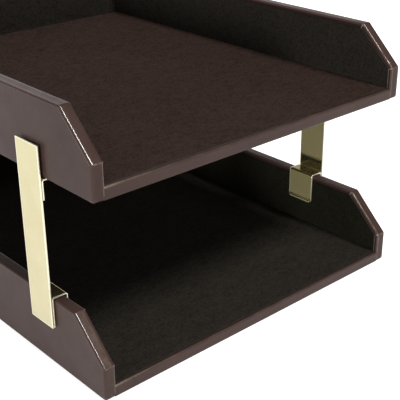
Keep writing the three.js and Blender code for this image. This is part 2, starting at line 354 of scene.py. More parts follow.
def leather_side_cover(name, body, node, side, foot_z):
    """Leather wrapped over a side wall, with soft edges and pinched folds at the bevel's ends."""
    stops = wall_stops()
    rings = {}

    def ring_at(inset):
        key = round(inset, 4)
        if key not in rings:
            corners = wall_corners(inset, inset, REAR_Y - inset)
            rings[key] = closed_ring(corners, max(CORNER_RADIUS - inset, 0.12), stops)
        return rings[key]

    outline = ring_at(0)
    around = len(outline)
    widths = [turned_in(y, z) for y, z in outline]
    sections = [cover_section(width) for width in widths]
    count = len(sections[0])
    head = sum(ARC_STEPS + 1 + len(stops[i]) for i in range(3))
    foot = head + ARC_STEPS + 1 + len(stops[3])
    lengths = lengths_along(outline)
    crease_places = [(lengths[k] + lengths[k + ARC_STEPS]) / 2 for k in (head, foot)]
    seed = Vector((LEFT_SEED if side > 0 else RIGHT_SEED, 29 + foot_z, 53))
    # The lower left wall's bevel gets a painted sheen, a lighter band, and a softer edge shine.
    burnish_and_sheen = 0.25 if foot_z == 0 and side > 0 else 0

    def part_of(i):
        if i < head + ARC_STEPS // 2:
            return "top"
        return "bevel" if i < foot + ARC_STEPS // 2 else "front"

    def pushed(i, k, out):
        """Where sample k of section i goes when it moves out of the leather's surface."""
        inset, depth = sections[i][k]
        before, after = sections[i][max(k - 1, 0)], sections[i][min(k + 1, count - 1)]
        du, dv = after[0] - before[0], after[1] - before[1]
        size = math.hypot(du, dv) or 1
        tangent = (outline[(i + 1) % around] - outline[i - 1]).normalized()
        inward = Vector((-tangent.y, tangent.x))
        y, z = ring_at(inset)[i] + inward * (-dv / size * out)
        return -side * (HALF_WIDTH - (depth + du / size * out)), y, z + foot_z

    points, wear, polish, dull = [], [], [], []
    for k in range(count):
        fine = 0.01 if k < INNER_ARC_START else 0.035
        fade = min(1, (k - OUTER_ARC_START) / 3)
        for i in range(around):
            out = -WAVE_ROOM if k <= CUT_EDGE else 0
            rubbed, smooth, matte = 0, 0, 0
            if OUTER_ARC_START <= k <= CUT_EDGE and widths[i] is not None:
                inset, depth = sections[i][k]
                place = Vector((depth * side, *ring_at(inset)[i])) + seed
                out += fade * waves(place, (0.07, 24), (fine, 7))
                fold, fold_wear = crease(lengths[i], k, crease_places, place)
                out += fold
                rubbed, smooth, matte = edge_finish(k, part_of(i), side, place, burnish_and_sheen)
                rubbed = max(fold_wear, rubbed)
            points.append(pushed(i, k, out))
            wear.append(rubbed)
            polish.append(smooth)
            dull.append(matte)
    make_object(
        name, points, ring_faces(count, points), COVER, body, "cover_leather", [node],
        wear=wear, polish=polish, dull=dull,
    )


def crease(length, k, places, place):
    """Height and wear of the folds where the leather is pinched at the bevel's two corners.

    length is how far the point lies along the wall's outline, and places are the corners' own.
    """
    if k < INNER_ARC_START - ARC_STEPS:
        return 0, 0
    on_inside = k >= INNER_ARC_START + 2
    spread = max(0, k - INNER_ARC_START) / ARC_STEPS
    offsets = (-0.9 * spread, 0, 0.8 * spread) if on_inside else (0,)
    wander = 0.25 * noise.noise(place / 1.5)
    height = 0
    for centre in places if on_inside else places[1:]:
        for offset in offsets:
            d = (length - centre - offset - wander) / FOLD_WIDTH
            height += FOLD_HEIGHT * math.exp(-d * d)
    height = min(height, FOLDS_LIMIT)
    broken = max(0, min(1, 0.55 + 1.3 * noise.noise(place / 1.3)))
    return height, min(1, height * 7) * broken * 0.75


def edge_finish(k, part, side, place, burnish_and_sheen):
    """How rubbed bare, how polished and how dull the leather is at sample k of its section.

    The rubbed share also paints pale lines where the lamp's highlight falls on the bevel's edges
    and on the front's inner edge: painted highlights. The dull share paints the turn-in darker:
    painted shade. The last argument is how far a wall's bevel is painted with a soft tan sheen, a
    painted sheen, and has lost its hard shine.
    """
    grain = 0.5 + 0.5 * noise.noise(place / 3)
    broken = max(0, min(1, 0.75 + 1.6 * noise.noise(place / 2.2)))
    if k <= OUTER_ARC_END:
        crest = max(0, 1 - abs(k - OUTER_ARC_END + 1.2) / 1.3)
        rubbed = 0
        # Painted highlight: a pale line along the left walls' bevel crest, where the lamp's
        # highlight falls.
        if part == "bevel" and side > 0:
            rubbed = (0.5 - 1.6 * burnish_and_sheen) * crest * (0.6 + 0.4 * grain)
        return rubbed, {"top": 0.25, "bevel": 1 - 1.1 * burnish_and_sheen, "front": 0.1}[part], 0
    if k < INNER_ARC_START:
        # Painted sheen: the bevel's band is lightened on the lower left wall.
        rubbed = burnish_and_sheen * {"top": 0, "bevel": 1, "front": 0.4}[part] * grain
        smooth = max(0.35, 0.6 - 0.2 * (k - OUTER_ARC_END)) if part == "bevel" else 0
        return rubbed, smooth, 0
    if k < STRIP_START:
        crest = max(0, 1 - abs(k - INNER_ARC_START - 1.4) / 1.3)
        # The front's inner edge is partly rubbed and partly a painted highlight; on the right
        # walls' bevel the pale line is a painted highlight where the lamp's highlight falls.
        if part == "front":
            return crest * (0.4 + 0.6 * grain * broken), 0.2, 0
        rubbed = 0.6 * crest * broken if part == "bevel" and side < 0 else 0.08 * crest * grain
        return rubbed, 0.5 * broken if part == "bevel" else 0.15, 0
    # The turn-in strip is dull and painted darker: painted shade.
    if k < STRIP_START + 2:
        return 0, 0, 1
    return {"top": 0, "bevel": 0.1, "front": 0.35}[part] * (0.6 + grain), 0, 1


# ---------------------------------------------------------------- flat sheets

def rectangle(u0, u1, v0, v1):
    return [(u0, v0), (u1, v0), (u1, v1), (u0, v1)]


def sheet(name, corners, place, radius=0.5, thickness=LEATHER, edge=0.28, spacing=14, **about):
    """A flat sheet with soft edges. place(u, v, depth) puts it in the tray."""
    points = [Vector(c) for c in corners]
    count = len(points)
    stops = [
        side_stops((points[i] - points[(i + 1) % count]).length - 2 * radius, spacing)
        for i in range(count)
    ]
    middle = sum(points, Vector((0, 0))) / count

    def ring_at(inset):
        drawn = []
        for i in range(count):
            a = (points[i] - points[i - 1]).normalized()
            b = (points[(i + 1) % count] - points[i]).normalized()
            inward_a = Vector((-a.y, a.x))
            inward_b = Vector((-b.y, b.x))
            if inward_a.dot(middle - points[i]) < 0:
                inward_a, inward_b = -inward_a, -inward_b
            mitre = (inward_a + inward_b).normalized()
            drawn.append(points[i] + mitre * (inset / mitre.dot(inward_a)))
        return closed_ring(drawn, max(radius - inset, 0.05), stops)

    profile = [(edge * 8, 0), (edge * 1.3, 0)]
    profile += [(edge - a, b) for a, b in quarter(edge, 3)]
    profile += [(b, thickness - edge + a) for a, b in quarter(edge, 3)]
    profile += [(edge * 8, thickness)]
    placed = [place(u, v, depth) for inset, depth in profile for u, v in ring_at(inset)]
    make_object(name, placed, ring_faces(len(profile), placed), **about)


# ---------------------------------------------------------------- bent strips

def bent_path(corners, steps, spacing):
    """Points along a bent line from corners (u, v, bend radius), close together in the bends."""
    points = [Vector(c[:2]) for c in corners]
    line = [points[0]]
    for i in range(1, len(points)):
        radius = corners[i][2] if len(corners[i]) > 2 else 0
        if radius and i < len(points) - 1:
            arc = arc_between(points[i - 1], points[i], points[i + 1], radius, steps)
        else:
            arc = [points[i]]
        start = line[-1]
        parts = max(1, round((arc[0] - start).length / spacing))
        line += [start.lerp(arc[0], k / parts) for k in range(1, parts)]
        line += arc
    return line


def drawn_in(distance, radius):
    """How far a round corner is drawn in, at a distance from its tip."""
    if distance >= radius:
        return 0
    return radius - math.sqrt(max(0, radius ** 2 - (radius - distance) ** 2))


def end_stations(edge, corner):
    """Where a strip needs points near its end, for its soft edge and its round corners."""
    places = {0, edge * 0.3, edge * 0.7, edge, edge * 3, edge * 3.6}
    if corner:
        places |= {drawn for _, drawn in quarter(corner, 8)}
    return sorted(places)


def strip_section(half, half_thick, edge, width_stops):
    """A strip's section as (across, out, share of the width), round its four edges."""
    round_by = min(edge, half_thick * 0.95)
    flat = half - round_by
    low = -half_thick
    arc = quarter(round_by, 3)
    section = [(flat * share, half_thick, share) for share in width_stops]
    section += [(flat + a, half_thick - b, 1) for a, b in arc[1:]]
    section += [(flat + round_by - b, low + round_by - a, 1) for a, b in arc]
    section += [(flat * share, low, share) for share in width_stops[-2::-1]]
    section += [(-flat - a, low + b, -1) for a, b in arc[1:]]
    section += [(-flat - round_by + b, half_thick - round_by + a, -1) for a, b in arc[:-1]]
    return section


def strip_mesh(
    line, half_width, thickness, edge, place, width_stops, end_corners=(0, 0), lift=None,
):
    """Points and faces of a strip with round edges that follows a line.

    width_stops are shares from -1 to 1 across the strip. end_corners are the corner radii at the
    line's start and end. lift(share, length) moves the strip along its own normal.
    """
    lengths = lengths_along(line)
    spans = [after - before for before, after in zip(line, line[1:])]
    total = lengths[-1]
    near_start, near_end = (end_stations(edge, corner) for corner in end_corners)
    low, high = near_start[-1] + 1e-3, total - near_end[-1] - 1e-3
    stations = near_start + [s for s in lengths if low < s < high]
    stations += [total - s for s in reversed(near_end)]

    def at(s):
        """The line's place and normal at a length."""
        k = 0
        while k < len(lengths) - 2 and s > lengths[k + 1]:
            k += 1
        share = (s - lengths[k]) / (lengths[k + 1] - lengths[k])
        behind, here, ahead = (
            spans[min(max(n, 0), len(spans) - 1)].normalized() for n in (k - 1, k, k + 1)
        )
        start_way, end_way = (here + behind).normalized(), (here + ahead).normalized()
        way = start_way.lerp(end_way, share).normalized()
        return line[k].lerp(line[k + 1], share), Vector((-way.y, way.x))

    points = []
    for s in stations:
        position, normal = at(s)
        near, corner = (s, end_corners[0]) if s < total / 2 else (total - s, end_corners[1])
        tip = drawn_in(near, edge) * END_ROUNDING
        half = half_width - drawn_in(near, corner) - tip
        for across, out, share in strip_section(half, thickness / 2 - tip, edge, width_stops):
            raised = lift(share, s) if lift else 0
            points.append(place(position + normal * (out + raised), across))
    return points, ring_faces(len(stations), points)


# ---------------------------------------------------------------- finishes

class Nodes:
    """A node tree whose nodes are added one by one."""

    def __init__(self, tree):
        self.tree = tree

    def node(self, kind, inputs=None, **settings):
        node = self.tree.nodes.new(kind)
        for key, value in settings.items():
            setattr(node, key, value)
        for key, value in (inputs or {}).items():
            self.set(node.inputs[key], value)
        return node

    def set(self, socket, value):
        """Links a socket to another one, or gives it a number or a colour."""
        if isinstance(value, bpy.types.NodeSocket):
            self.tree.links.new(value, socket)
        else:
            socket.default_value = value

    def math(self, operation, a, b=0):
        return self.node("ShaderNodeMath", {0: a, 1: b}, operation=operation).outputs[0]

    def ranged(self, value, low, high, new_low=0, new_high=1, **settings):
        inputs = {
            "Value": value, "From Min": low, "From Max": high,
            "To Min": new_low, "To Max": new_high,
        }
        return self.node("ShaderNodeMapRange", inputs, **settings).outputs["Result"]


class Finish(Nodes):
    """A material that ends in its Principled shader. Its patterns lie fixed on the piece."""

    def __init__(self, name):
        self.material = bpy.data.materials.new(name)
        self.material.use_nodes = True
        super().__init__(self.material.node_tree)
        self.shader = self.tree.nodes["Principled BSDF"]
        self.place = self.node("ShaderNodeTexCoord").outputs["Object"]

    def vector(self, operation, a, b=(0, 0, 0), scale=1):
        inputs = {0: a, 1: b, 3: scale}
        return self.node("ShaderNodeVectorMath", inputs, operation=operation).outputs[0]

    def stretched(self, scale):
        """The place on the piece, scaled along each axis."""
        inputs = {"Vector": self.place, "Scale": scale}
        return self.node("ShaderNodeMapping", inputs).outputs["Vector"]

    def warped(self, scale, reach):
        """The place on the piece, pushed about by a fine noise."""
        inputs = {"Vector": self.place, "Scale": scale, "Detail": 2}
        warp = self.node("ShaderNodeTexNoise", inputs).outputs["Color"]
        push = self.vector("SUBTRACT", warp, (0.5, 0.5, 0.5))
        return self.vector("ADD", self.place, self.vector("SCALE", push, scale=reach))

    def noise(self, scale, detail=3, roughness=0.5, place=None, distortion=0):
        inputs = {
            "Vector": place or self.place, "Scale": scale, "Detail": detail,
            "Roughness": roughness, "Distortion": distortion,
        }
        return self.node("ShaderNodeTexNoise", inputs).outputs["Fac"]

    def cells(self, scale, feature="F1", place=None):
        inputs = {"Vector": place or self.place, "Scale": scale}
        return self.node("ShaderNodeTexVoronoi", inputs, feature=feature).outputs["Distance"]

    def mixed(self, share, a, b):
        inputs = {0: share, 6: a, 7: b}
        return self.node("ShaderNodeMix", inputs, data_type="RGBA").outputs[2]

    def bump(self, height, strength, distance, normal=None):
        inputs = {"Height": height, "Strength": strength, "Distance": distance}
        if normal:
            inputs["Normal"] = normal
        return self.node("ShaderNodeBump", inputs).outputs["Normal"]

    def mark(self, name):
        """The number that each point of the mesh carries under a name."""
        return self.node("ShaderNodeAttribute", attribute_name=name).outputs["Fac"]

    def finish(self, **values):
        for key, value in values.items():
            self.set(self.shader.inputs[key.replace("_", " ")], value)
        return self.material


def leather(name, dark, light, worn_and_highlight, rough, gloss, grain_size, grain_depth):
    """Fine-grained finished leather: pebbled cells with painted shade in their creases, soft
    mottling, rubbed and polished edges, pale edge lines that are painted highlights, and turn-ins
    painted darker as painted shade.
    """
    f = Finish(name)
    crease_shade = tuple(c * 0.5 for c in dark[:3]) + (1,)
    # The dark tone for dull places is painted shade on the turn-ins.
    cut = (dark[0] * 0.42, dark[1] * 0.40, dark[2] * 0.40, 1)
    rubbed, smooth, matte = f.mark("wear"), f.mark("polish"), f.mark("dull")
    unpressed = f.ranged(smooth, 0, 0.45, 1, 0.08)

    place = f.warped(420, 0.0009)
    pebbles = f.cells(1 / grain_size, "SMOOTH_F1", place)
    creases = f.cells(1 / (grain_size * 1.9), "DISTANCE_TO_EDGE", place)
    furrow = f.ranged(creases, 0, 0.16)
    height = f.math("ADD", f.math("MULTIPLY", pebbles, -0.9), f.math("MULTIPLY", furrow, 0.55))
    height = f.math("ADD", height, f.math("MULTIPLY", f.noise(3400, 2, 0.6), 0.25))

    mottle = f.ranged(f.noise(28, 4, 0.55, distortion=0.6), 0.32, 0.7)
    cloud = f.ranged(f.noise(9, 2), 0.35, 0.65)
    colour = f.mixed(mottle, dark, light)
    colour = f.mixed(f.ranged(cloud, 0, 1, 0, 0.22), colour, dark)
    # Painted shade: the grain's creases are darkened as if shaded.
    lines = f.math("MULTIPLY", f.ranged(furrow, 0, 1, 0.22, 0), unpressed)
    colour = f.mixed(lines, colour, crease_shade)
    # Dull places, the turn-ins, take the painted shade tone.
    colour = f.mixed(matte, colour, cut)
    # The pale worn tone marks rubbed edges, and also painted highlights and painted sheen.
    patchy = f.math("MULTIPLY", rubbed, f.ranged(f.noise(700, 3, 0.6), 0.3, 0.6, 0.45, 1))
    colour = f.mixed(f.math("MINIMUM", patchy, 1), colour, worn_and_highlight)

    roughness = f.ranged(f.noise(60, 3), 0.3, 0.7, rough - 0.04, rough + 0.05)
    roughness = f.math("SUBTRACT", roughness, f.math("MULTIPLY", smooth, rough - 0.13))
    roughness = f.math("ADD", roughness, f.math("MULTIPLY", matte, 0.85 - rough))
    flatter = f.ranged(smooth, 0, 1, 1, 0.25)
    swell = f.bump(f.math("MULTIPLY", f.noise(36, 2), flatter), 0.22, 0.0011)
    normal = f.bump(f.math("MULTIPLY", height, unpressed), 0.45, grain_depth, swell)
    return f.finish(
        Base_Color=colour, Roughness=roughness, Specular_IOR_Level=gloss, Normal=normal,
        Coat_Weight=smooth, Coat_Roughness=0.1,
    )


SUEDE_BASE = (0.040, 0.0265, 0.0205)
SUEDE_PATCH = (0.054, 0.0375, 0.030)
SUEDE_NAP = (0.072, 0.047, 0.037)
SUEDE_SHADE = (0.019, 0.013, 0.010)


def suede(name, tint_and_shade):
    """Dark brown suede with a short nap, brushed here and there. The tint scales the colour; the
    darker tints of the lower and wall copies are painted shade.
    """
    f = Finish(name)
    base, patch, raised, shade = (
        tuple(c * t for c, t in zip(tone, tint_and_shade)) + (1,)
        for tone in (SUEDE_BASE, SUEDE_PATCH, SUEDE_NAP, SUEDE_SHADE)
    )
    nap = f.noise(1500, 4, 0.7)
    brushed = f.noise(210, 4, 0.65, f.stretched((0.6, 1, 1)), 0.9)
    flecks = f.noise(560, 3, 0.75)
    patches = f.ranged(f.noise(22, 3, 0.6, distortion=0.8), 0.35, 0.68)
    colour = f.mixed(f.math("MULTIPLY", patches, 0.7), base, patch)
    colour = f.mixed(f.ranged(brushed, 0.48, 0.66, 0, 0.6), colour, raised)
    colour = f.mixed(f.ranged(brushed, 0.47, 0.32, 0, 0.6), colour, shade)
    colour = f.mixed(f.ranged(flecks, 0.4, 0.62, 0, 0.6), colour, raised)
    colour = f.mixed(f.ranged(flecks, 0.5, 0.32, 0, 0.65), colour, shade)
    colour = f.mixed(f.ranged(nap, 0.35, 0.65, 0.3, 0), colour, shade)
    height = f.math("ADD", nap, f.math("MULTIPLY", brushed, 0.5))
    return f.finish(
        Base_Color=colour, Roughness=0.92, Specular_IOR_Level=0.05,
        Normal=f.bump(height, 0.5, 0.0002),
    )


def felt():
    """Dark felt: matted fibres in every direction."""
    f = Finish("base_felt")
    dark, light, clump = (
        (0.0075, 0.0066, 0.006, 1), (0.022, 0.0185, 0.0165, 1), (0.012, 0.0098, 0.0086, 1),
    )
    fibres = f.noise(1900, 5, 0.75, distortion=1.6)
    clumps = f.noise(170, 4, 0.6)
    colour = f.mixed(f.ranged(fibres, 0.35, 0.65), dark, light)
    colour = f.mixed(f.ranged(clumps, 0.4, 0.7, 0, 0.35), colour, clump)
    height = f.math("ADD", fibres, f.math("MULTIPLY", clumps, 0.8))
    return f.finish(
        Base_Color=colour, Roughness=0.96, Specular_IOR_Level=0.08,
        Normal=f.bump(height, 0.8, 0.0004), Sheen_Weight=0.25, Sheen_Roughness=0.5,
        Sheen_Tint=(0.3, 0.26, 0.24, 1),
    )


def polished_brass():
    """Lacquered brass: faint rolling lines, haze, burnished rims painted pale as a painted
    highlight, and bare rubbed places.
    """
    f = Finish("polished_brass")
    clear, hazy = (0.67, 0.58, 0.277, 1), (0.725, 0.64, 0.335, 1)
    speck, rim = (0.5, 0.4, 0.2, 1), (1.0, 0.95, 0.69, 1)
    bare = f.mark("bare")
    lines = f.noise(900, 3, 0.6, f.stretched((1, 3.2, 0.05)))
    haze = f.ranged(f.noise(34, 4, 0.6, distortion=0.4), 0.38, 0.68)
    specks = f.ranged(f.cells(420), 0.0, 0.07, 1, 0)
    tone = f.mixed(haze, clear, hazy)
    tone = f.mixed(f.math("MULTIPLY", specks, 0.25), tone, speck)
    # The rims are painted pale: partly burnish, partly a painted highlight.
    tone = f.mixed(f.mark("polish"), tone, rim)
    roughness = f.math("ADD", f.ranged(haze, 0, 1, 0.11, 0.16), f.ranged(lines, 0.4, 0.7, 0, 0.04))
    roughness = f.math("SUBTRACT", roughness, f.math("MULTIPLY", bare, 0.03))
    swell = f.bump(f.noise(26, 1), 0.12, 0.0012)
    height = f.math("MULTIPLY", lines, f.ranged(bare, 0, 1, 1, 0.1))
    return f.finish(
        Base_Color=tone, Metallic=f.ranged(bare, 0, 1, 0.65, 0.97), Roughness=roughness,
        Specular_IOR_Level=0.5, Normal=f.bump(height, 0.06, 0.00005, swell),
        Coat_Weight=f.ranged(bare, 0, 1, 1, 0), Coat_Roughness=0.09, Coat_IOR=1.8,
    )


def board_wood(name, along_y):
    """Pale plywood-like beech, with its grain along the board."""
    f = Finish(name)
    pale, ring, pore = (0.50, 0.33, 0.19, 1), (0.36, 0.215, 0.11, 1), (0.22, 0.12, 0.06, 1)
    place = f.stretched((1, 0.06, 1) if along_y else (0.06, 1, 1))
    rings = f.noise(210, 4, 0.6, place, 1.4)
    pores = f.noise(1600, 3, 0.7, place)
    colour = f.mixed(f.ranged(rings, 0.35, 0.68), pale, ring)
    colour = f.mixed(f.ranged(pores, 0.55, 0.75, 0, 0.5), colour, pore)
    height = f.math("ADD", rings, f.math("MULTIPLY", pores, -0.7))
    return f.finish(Base_Color=colour, Roughness=0.72, Normal=f.bump(height, 0.3, 0.0002))


def pin_steel():
    """Drawn steel wire with draw marks and a little dulling."""
    f = Finish("pin_steel_finish")
    bright, dulled = (0.46, 0.46, 0.47, 1), (0.31, 0.30, 0.29, 1)
    marks = f.noise(2600, 3, 0.6, f.stretched((0.08, 1, 1)))
    colour = f.mixed(f.ranged(f.noise(300, 3), 0.4, 0.7), bright, dulled)
    return f.finish(
        Base_Color=colour, Metallic=1.0, Roughness=f.ranged(marks, 0.3, 0.7, 0.28, 0.5),
        Normal=f.bump(marks, 0.25, 0.00004),
    )


# The pale worn tone serves rubbed edges, painted highlights and painted sheen.
COVER = leather(
    "cover_leather_finish",
    dark=(0.0505, 0.0275, 0.0225, 1), light=(0.066, 0.0370, 0.0302, 1), worn_and_highlight=(0.33, 0.26, 0.20, 1),
    rough=0.37, gloss=0.19, grain_size=0.00075, grain_depth=0.0001,
)
# Painted shade: the lower copies and the wall copies are darker than the upper floor, as if shaded
# by the upper tray and facing away from the light.
FLOOR_SUEDE = {
    "lower": suede("lower_floor_suede_shaded", (0.47, 0.61, 0.61)),
    "upper": suede("upper_floor_suede", (0.72, 0.66, 0.66)),
}
WALL_SUEDE = {
    "lower": suede("lower_wall_suede_shaded", (0.23, 0.33, 0.26)),
    "upper": suede("upper_wall_suede_shaded", (0.44, 0.57, 0.58)),
}
FELT = felt()
BRASS = polished_brass()
WOOD_ALONG = board_wood("board_wood_along", True)
WOOD_ACROSS = board_wood("board_wood_across", False)
STEEL = pin_steel()


# ---------------------------------------------------------------- the trays

def side_walls(level, foot_z):
    body = f"{level}_tray"
    for side_name, side in (("left", 1), ("right", -1)):
        wall = f"{level}_{side_name}_side"
        leather_side_cover(f"{wall}_cover_leather", body, f"{wall}_cover", side, foot_z)
        corners = wall_corners(
            TURN_IN + SEAM, FLOOR_BOARD_TOP + GLUE, BACK_BOARD_FACE_Y - SEAM,
        )
        corners = [(y, z + LINING_RISE if z > WALL_HEIGHT / 2 else z) for y, z in corners]
        sheet(
            f"{wall}_lining_sheet", corners,
            lambda u, v, depth, s=side: (-s * (INNER_X + depth), u, v + foot_z),
            material=WALL_SUEDE[level], body=body, slot="lining_suede",
            replaced=[f"{wall}_lining"],
        )


def back_wall(level, foot_z):
    body = f"{level}_tray"
    middle = LEATHER / 2
    bend = EDGE_RADIUS - middle
    line = bent_path(
        [
            (BACK_FACE_Y + middle, WALL_HEIGHT - TURN_IN),
            (BACK_FACE_Y + middle, WALL_HEIGHT - middle, bend),
            (REAR_Y - middle, WALL_HEIGHT - middle, bend),
            (REAR_Y - middle, middle, bend),
            (REAR_Y - TURN_UNDER, middle),
        ],
        ARC_STEPS, spacing=3,
    )

    def lift(share, s):
        place = Vector((share * CROSS_HALF_WIDTH, s, foot_z + BACK_SEED))
        fade = max(0, min(1, (22 - s) / 10))
        return fade * (waves(place, (0.06, 23), (0.03, 8)) - 0.09)

    points, faces = strip_mesh(
        line, CROSS_HALF_WIDTH, LEATHER, 0.25,
        lambda p, across: (across, p.x, p.y + foot_z), even_stops(40), lift=lift,
    )
    count = len(points)
    make_object(
        f"{level}_back_cover_leather", points, faces, COVER, body, "cover_leather",
        [f"{level}_back_cover"], wear=[0.0] * count, polish=[0.1] * count, dull=[0.0] * count,
    )
    low, high = FLOOR_BOARD_TOP + GLUE, WALL_HEIGHT - TURN_IN - SEAM + LINING_RISE
    sheet(
        f"{level}_back_lining_sheet",
        rectangle(-CROSS_HALF_WIDTH, CROSS_HALF_WIDTH, low, high),
        lambda u, v, depth: (u, BACK_FACE_Y + depth, v + foot_z),
        material=WALL_SUEDE[level], body=body, slot="lining_suede",
        replaced=[f"{level}_back_lining"],
    )


def floor_edge(level, foot_z):
    """Leather turned round the floor's front edge, from under the felt to the lining on top."""
    middle = LEATHER / 2
    bend = EDGE_RADIUS - middle
    line = bent_path(
        [
            (FRONT_Y + TURN_UNDER, middle),
            (FRONT_Y + middle, middle, bend),
            (FRONT_Y + middle, FLOOR_TOP - middle, bend),
            (FRONT_Y + TURN_IN, FLOOR_TOP - middle),
        ],
        ARC_STEPS, spacing=0.7,
    )
    half_width = INNER_X + 0.9

    def lift(share, s):
        place = Vector((share * half_width, s, foot_z + FLOOR_SEED))
        fade = max(0, min(1, (s - 4) / 2.5))
        return fade * (waves(place, (0.10, 26), (0.05, 9)) - 0.15)

    points, faces = strip_mesh(
        line, half_width, LEATHER, 0.2,
        lambda p, across: (across, p.x, p.y + foot_z), even_stops(84), lift=lift,
    )
    wear, dull = [], []
    for x, y, z in points:
        inward, high = y - FRONT_Y, z - foot_z - FLOOR_TOP
        on_top = high > -0.5
        place = Vector((x, 11, foot_z))
        # Painted highlight: the rim is painted paler towards the left end.
        left_end_highlight = math.exp(-(HALF_WIDTH + x) / 16)
        rim = math.exp(-(((inward - 0.6) / 0.7) ** 2 + ((high + 0.4) / 0.7) ** 2))
        cut = math.exp(-((inward - TURN_IN) / 0.5) ** 2) if on_top else 0
        rub = 0.03 + waves(place, (0.10, 9)) + 1.1 * left_end_highlight
        wear.append(max(0, rim * rub, cut * (0.1 + waves(place, (0.15, 5)))))
        # The top turn-in is dull and painted darker: painted shade.
        dull.append(max(0, min(1, (inward - 0.8) / 0.6)) if on_top else 0)
    make_object(
        f"{level}_floor_cover_leather", points, faces, COVER, f"{level}_tray", "cover_leather",
        [f"{level}_floor_cover"], wear=wear, polish=[0.1] * len(points), dull=dull,
    )


def floor_sheets(level, foot_z):
    body = f"{level}_tray"
    front, rear = FRONT_Y + TURN_IN + SEAM, BACK_FACE_Y - SEAM
    sheet(
        f"{level}_floor_lining_sheet",
        rectangle(-CROSS_HALF_WIDTH, CROSS_HALF_WIDTH, front, rear),
        lambda u, v, depth: (u, v, foot_z + FLOOR_TOP - depth),
        material=FLOOR_SUEDE[level], body=body, slot="lining_suede",
        replaced=[f"{level}_floor_lining"],
    )
    half_x, half_y = HALF_WIDTH - CLOTH_BORDER, TRAY_DEPTH / 2 - CLOTH_BORDER
    sheet(
        f"{level}_base_cloth_felt", rectangle(-half_x, half_x, -half_y, half_y),
        lambda u, v, depth: (u, v, foot_z + depth),
        radius=0.8, thickness=CLOTH_THICKNESS, edge=0.3, spacing=16,
        material=FELT, body=body, slot="base_cloth", replaced=[f"{level}_base_cloth"],
    )


# ---------------------------------------------------------------- the posts

def brass_strip(name, node, body, corners, ends, side, centre_y, spacing, rubbed=None, lip=False):
    """A bent brass strip as wide as a post, from its centre line across the tray.

    rubbed(p) tells where hands and the tray have rubbed the lacquer off, so that bare metal shows.
    lip tells that the line ends in a flared lip, whose rim is painted less pale: a fainter painted
    highlight.
    """
    line = bent_path(corners, BEND_STEPS, spacing)
    half_width = STRIP_WIDTH / 2
    beside = [1 - (BURNISH_HIGHLIGHT_BAND - STRIP_EDGE + fade) / half_width for fade in (0, 0.2)]
    stops = [-1, *(-b for b in beside), *even_stops(8)[1:-1], *reversed(beside), 1]

    def place(p, across):
        return side * p.x, centre_y + side * across, p.y

    points, faces = strip_mesh(line, half_width, STRIP_THICKNESS, STRIP_EDGE, place, stops, ends)

    def from_end(p, end, inside):
        """How far a point lies from the strip's end, along the strip."""
        reach = p - end
        return reach.dot((inside - end).normalized()) if reach.length < 3 else 3

    polish, bare = [], []
    for x, y, z in points:
        p = Vector((side * x, z))
        side_edge = half_width - abs(y - centre_y)
        end_edge = min(from_end(p, line[0], line[1]), from_end(p, line[-1], line[-2]))
        at_lip = lip and p.x > line[-1].x - 1 and p.y < line[-1].y + LIP_RADIUS
        shine = LIP_RIM_HIGHLIGHT if at_lip else 1.0
        # Rims within the band are painted pale, partly burnish and partly painted highlight.
        polish.append(shine if min(side_edge, end_edge) < BURNISH_HIGHLIGHT_BAND + 0.02 else 0.0)
        bare.append(1.0 if rubbed and rubbed(p) and not polish[-1] else 0.0)
    make_object(name, points, faces, BRASS, body, "post_brass", [node], polish=polish, bare=bare)


def post(name, side, centre_y):
    body = f"{name}_post"
    inner_layer = -HALF_WIDTH - HOOK_SIDE_CLEARANCE - STRIP_THICKNESS / 2
    outer_layer = inner_layer - STRIP_THICKNESS - WELD_GAP
    flap = -INNER_X + HOOK_SIDE_CLEARANCE + STRIP_THICKNESS / 2
    top = WALL_HEIGHT + HOOK_TOP_CLEARANCE + STRIP_THICKNESS / 2
    end = WALL_HEIGHT - HOOK_OUTER_DROP
    tab = LEDGE_TOP_Z - STRIP_THICKNESS / 2
    lip_start = WALL_HEIGHT - HOOK_INNER_DROP
    lip = [
        (flap + LIP_RADIUS * (1 - math.cos(a)), lip_start - LIP_RADIUS * math.sin(a))
        for a in (LIP_ANGLE * (k + 1) / LIP_STEPS for k in range(LIP_STEPS))
    ]
    brass_strip(
        f"{body}_upright_strip", f"{body}_upright", body,
        [(outer_layer, end), (outer_layer, LEDGE_TOP_Z + UPRIGHT_ABOVE_LEDGE)],
        (STRIP_CORNER, STRIP_CORNER), side, centre_y, spacing=2.5,
        rubbed=lambda p: p.x > outer_layer and top < p.y < top + HAND_REACH,
    )
    brass_strip(
        f"{body}_hook_strip", f"{body}_hook", body,
        [
            (inner_layer, end), (inner_layer, top, BEND_RADIUS), (flap, top, BEND_RADIUS),
            (flap, lip_start), *lip,
        ],
        (STRIP_CORNER, LIP_CORNER), side, centre_y, spacing=1.2,
        rubbed=lambda p: p.y > top - 0.8 or p.x > flap - 1 and p.y < lip_start, lip=True,
    )
    brass_strip(
        f"{body}_ledge_strip", f"{body}_ledge", body,
        [
            (inner_layer, LEDGE_TOP_Z - LEDGE_DROP), (inner_layer, tab, BEND_RADIUS),
            (inner_layer - STRIP_THICKNESS / 2 + LEDGE_REACH, tab),
        ],
        (STRIP_CORNER, STRIP_CORNER), side, centre_y, spacing=4,
    )


for level, foot_z in (("lower", 0), ("upper", UPPER_TRAY_Z)):
    side_walls(level, foot_z)
    back_wall(level, foot_z)
    floor_edge(level, foot_z)
    floor_sheets(level, foot_z)
for name, centre_y in POST_Y.items():
    post(name, 1 if "left" in name else -1, centre_y)

# The boards and pins keep their solids.
for name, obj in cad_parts.items():
    if obj.hide_render:
        continue
    if "pin" in name:
        finish = STEEL
    else:
        finish = WOOD_ACROSS if "back" in name else WOOD_ALONG
    for slot in obj.material_slots:
        slot.material = finish


